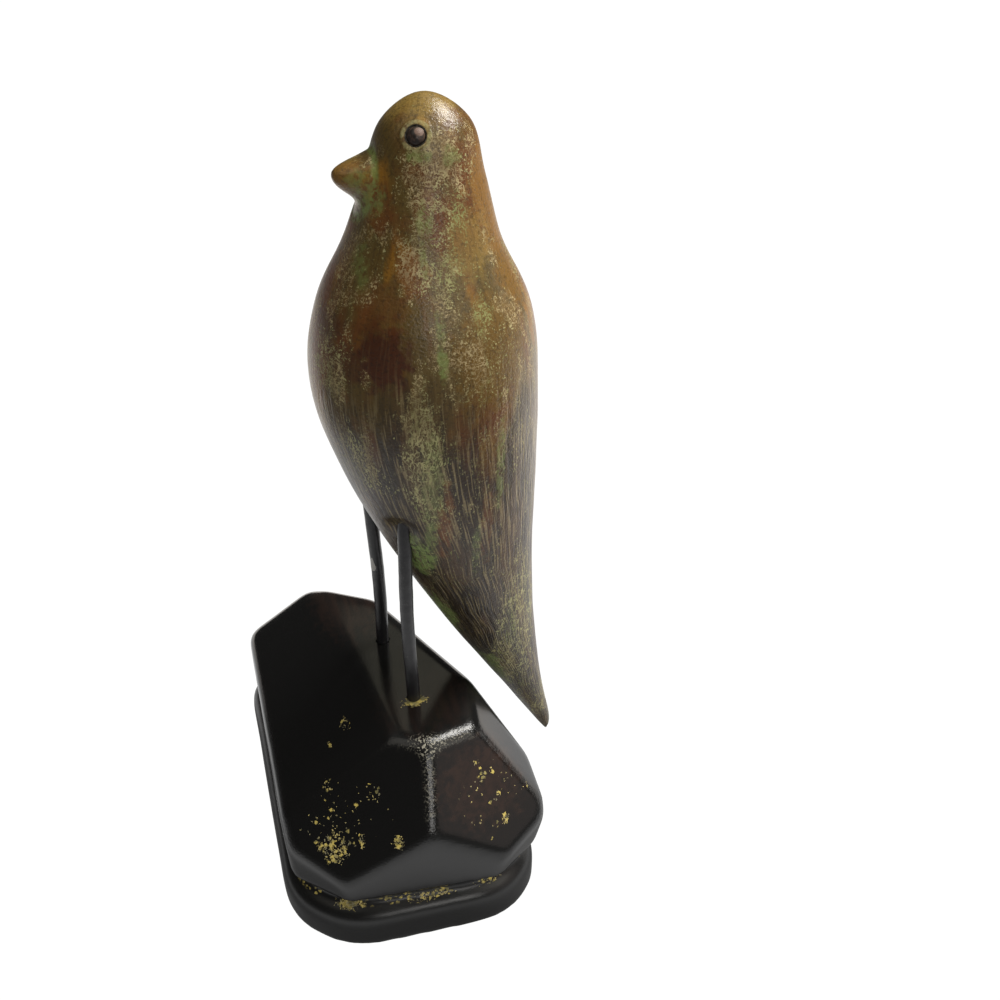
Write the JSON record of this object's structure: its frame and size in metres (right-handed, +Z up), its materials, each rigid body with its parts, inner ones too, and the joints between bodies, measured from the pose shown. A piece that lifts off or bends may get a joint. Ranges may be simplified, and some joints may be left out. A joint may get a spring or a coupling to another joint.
{
  "type": "carved bird figure on a faceted base",
  "caption": "Carved wooden bird standing upright on thin wire legs above a faceted, grooved wooden base; a free-standing shelf ornament.",
  "frame": {"origin": "on the flat underside of the base, near its middle, at the height that the figure stands on", "axes": "+Z up; the bird looks along -X, its left side is towards -Y, and the base is longest along Y"},
  "size_m": [0.0897, 0.1086, 0.2202],
  "materials": {
    "base_lacquer": "black gloss lacquer over wood, rubbed through to a yellow undercoat in flecks and along the groove",
    "leg_wire": "black painted iron wire, satin",
    "bird_paint": "satin lacquer over wood with a worn sage green over red-brown and olive-gold, streaked along the grain",
    "eye_bead": "small dark bead with a worn pale spot"
  },
  "bodies": {
    "root": {"base": "base_lacquer", "left_leg": "leg_wire", "right_leg": "leg_wire", "bird": "bird_paint", "left_eye": "eye_bead", "right_eye": "eye_bead"}
  },
  "joints": []
}
